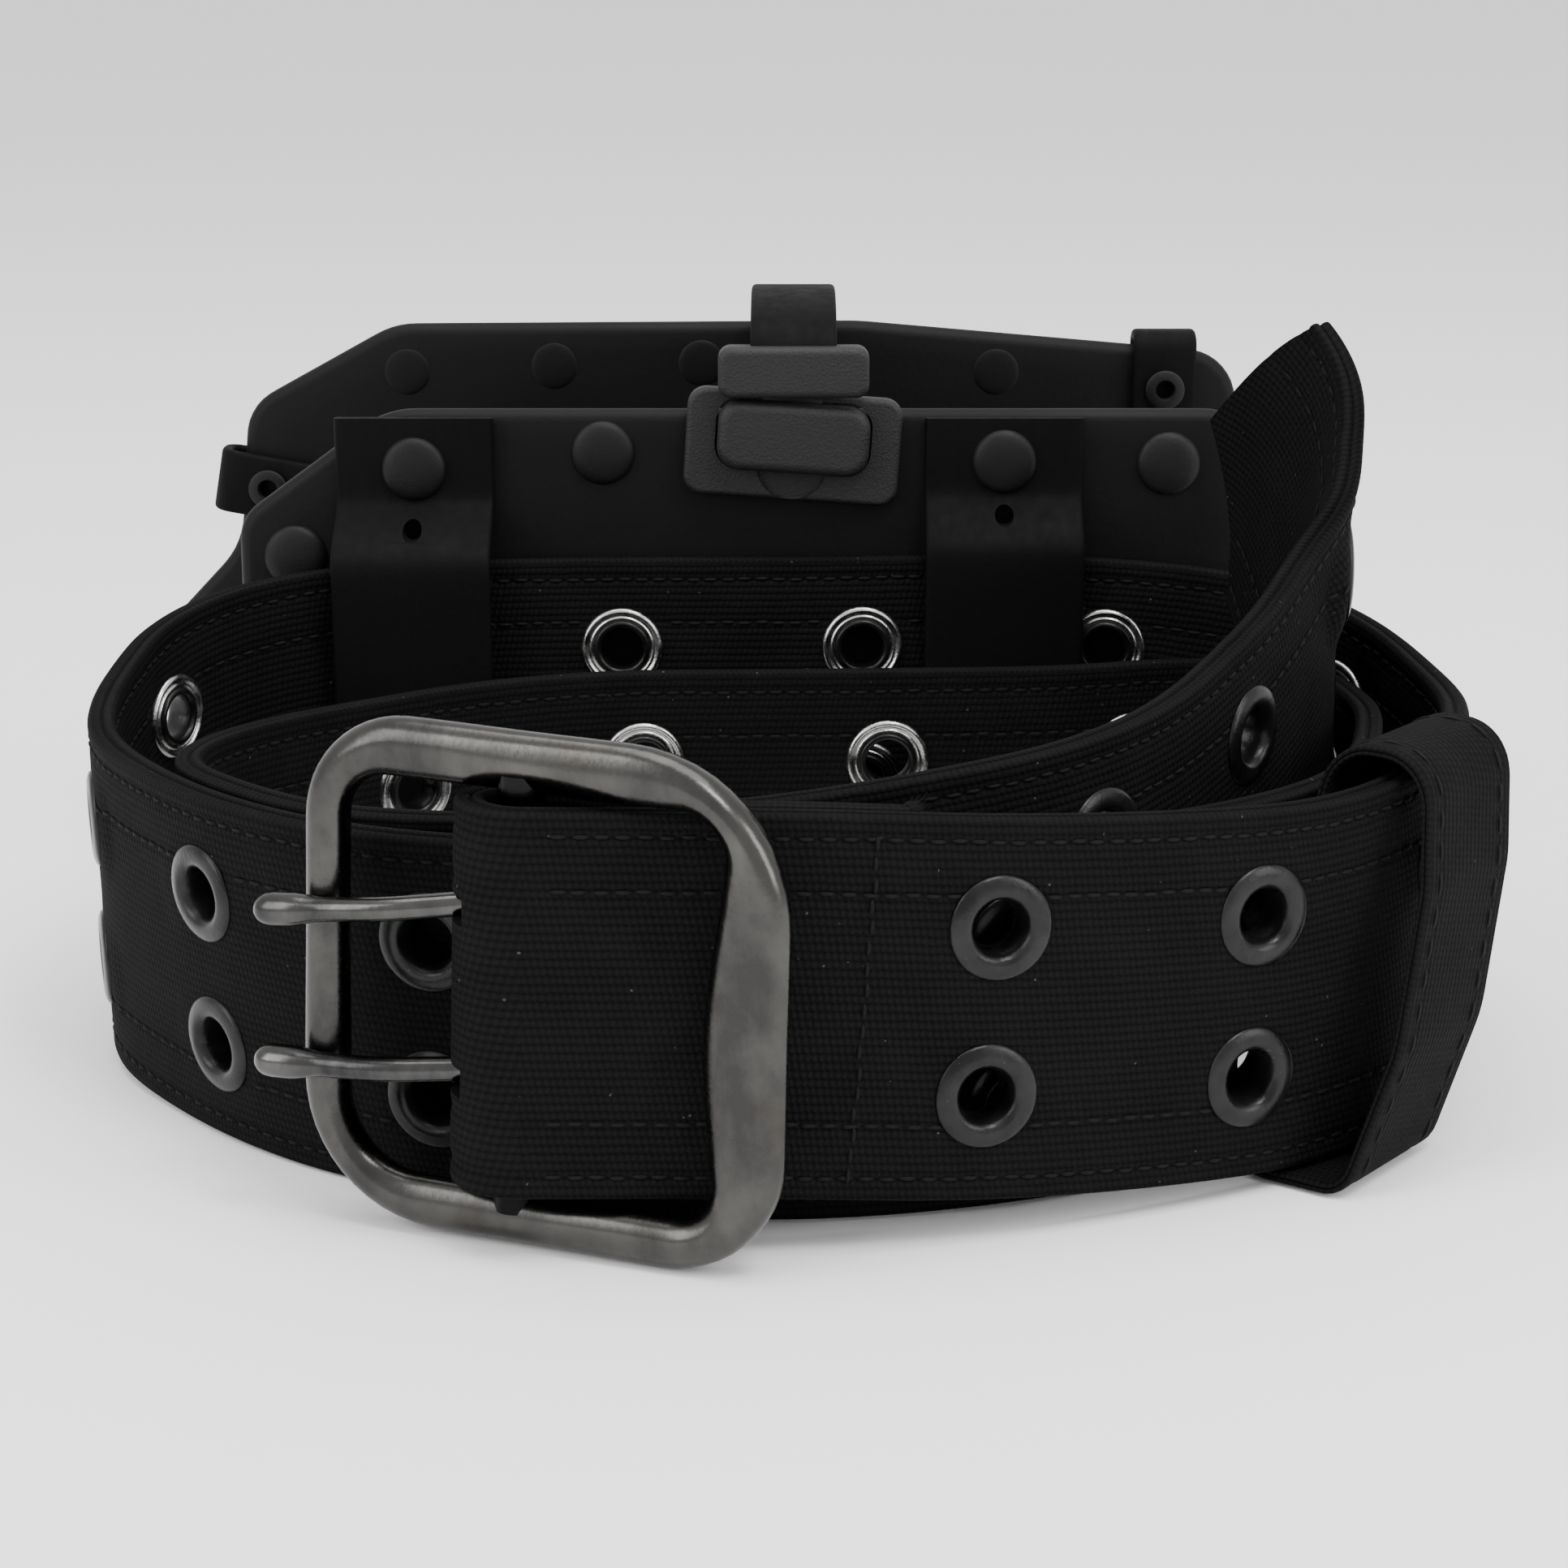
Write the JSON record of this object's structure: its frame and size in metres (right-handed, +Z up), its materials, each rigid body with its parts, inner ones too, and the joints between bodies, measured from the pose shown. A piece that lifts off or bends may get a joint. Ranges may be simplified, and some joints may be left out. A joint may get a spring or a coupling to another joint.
{
  "type": "tool belt",
  "caption": "Black webbing tool belt with two-prong buckle, eyelet rows, sliding keeper and a riveted back pouch with a push-button strap clip, coiled on edge.",
  "frame": {"origin": "centre of the bounding box, on the floor the coiled belt stands on", "axes": "+X to the right seen from the buckle side, +Y from the buckle to the back pouch, +Z up, along the strap's width"},
  "size_m": [0.2108, 0.1952, 0.1066],
  "materials": {
    "webbing": "black ribbed double-ply webbing, matte",
    "eyelet_paint": "dark satin paint over brass",
    "nickel": "bright nickel plate",
    "buckle_metal": "antique gunmetal, worn to brighter metal and a little brown",
    "panel_leather": "smooth black, faint grain",
    "strap_rubber": "smooth black coated strap, matte",
    "cap_paint": "black painted rivet caps, matte",
    "clip_plastic": "finely textured black moulding",
    "spring_steel": "plain spring wire"
  },
  "bodies": {
    "belt": {"strap_front_run": "webbing", "strap_right_turn": "webbing", "strap_back_run": "webbing", "strap_left_turn": "webbing", "strap_near_run": "webbing", "strap_inner_front_run": "webbing", "strap_inner_right_turn": "webbing", "strap_inner_back_run": "webbing", "strap_inner_left_turn": "webbing", "strap_inner_near_run": "webbing", "strap_tail": "webbing", "strap_wrap": "webbing", "strap_turn_back": "webbing", "eyelets": "eyelet_paint", "eyelet_washers": "nickel"},
    "buckle": {"buckle_frame": "buckle_metal", "buckle_bar": "buckle_metal"},
    "upper_prong": {"prong_upper": "buckle_metal"},
    "lower_prong": {"prong_lower": "buckle_metal"},
    "keeper": {"keeper_loop": "webbing"},
    "pouch": {"inner_panel": "panel_leather", "outer_panel": "panel_leather", "pouch_floor": "panel_leather", "keeper_strap_left": "strap_rubber", "keeper_strap_right": "strap_rubber", "panel_caps": "cap_paint", "outer_rivets": "cap_paint", "hollow_rivets": "cap_paint", "clip_plate": "clip_plastic", "button_spring": "spring_steel", "closure_anchor": "strap_rubber", "closure_rivet": "cap_paint"},
    "button": {"clip_button": "clip_plastic"},
    "closure": {"closure_strap": "strap_rubber", "clip_bridge": "clip_plastic"},
    "left_brace": {"brace_loop_left": "strap_rubber"},
    "right_brace": {"brace_loop_right": "strap_rubber"}
  },
  "joints": [
    {"name": "buckle_swing", "type": "hinge", "parent": "belt", "child": "buckle", "pos_m": [-0.02857, -0.08182, 0.03404], "axis": [0.0309, 0.0229, 0.9993], "range_deg": [-2, 2]},
    {"name": "upper_prong_swing", "type": "hinge", "parent": "buckle", "child": "upper_prong", "pos_m": [-0.02823, -0.08157, 0.04503], "axis": [0.0309, 0.0229, 0.9993], "range_deg": [0, 22]},
    {"name": "lower_prong_swing", "type": "hinge", "parent": "buckle", "child": "lower_prong", "pos_m": [-0.02891, -0.08207, 0.02305], "axis": [0.0309, 0.0229, 0.9993], "range_deg": [0, 22]},
    {"name": "keeper_slide", "type": "slide", "parent": "belt", "child": "keeper", "axis": [0.608, 0.7939, 0], "range_m": [-0.0012, 0.0012]},
    {"name": "pouch_slide", "type": "slide", "parent": "belt", "child": "pouch", "axis": [1, 0, 0], "range_m": [-0.002, 0.002]},
    {"name": "button_press", "type": "slide", "parent": "pouch", "child": "button", "axis": [0, 1, 0], "range_m": [0, 0.0015], "stiffness_N_per_m": 500, "deforming": ["button_spring"]},
    {"name": "closure_lift", "type": "hinge", "parent": "pouch", "child": "closure", "pos_m": [0.00623, 0.09016, 0.09607], "axis": [-1, 0, 0], "range_deg": [0, 45]},
    {"name": "left_brace_swing", "type": "hinge", "parent": "pouch", "child": "left_brace", "pos_m": [-0.08327, 0.09226, 0.06747], "axis": [0, 1, 0], "range_deg": [-4, 4]},
    {"name": "right_brace_swing", "type": "hinge", "parent": "pouch", "child": "right_brace", "pos_m": [0.06923, 0.09226, 0.08447], "axis": [0, 1, 0], "range_deg": [-4, 4]}
  ]
}
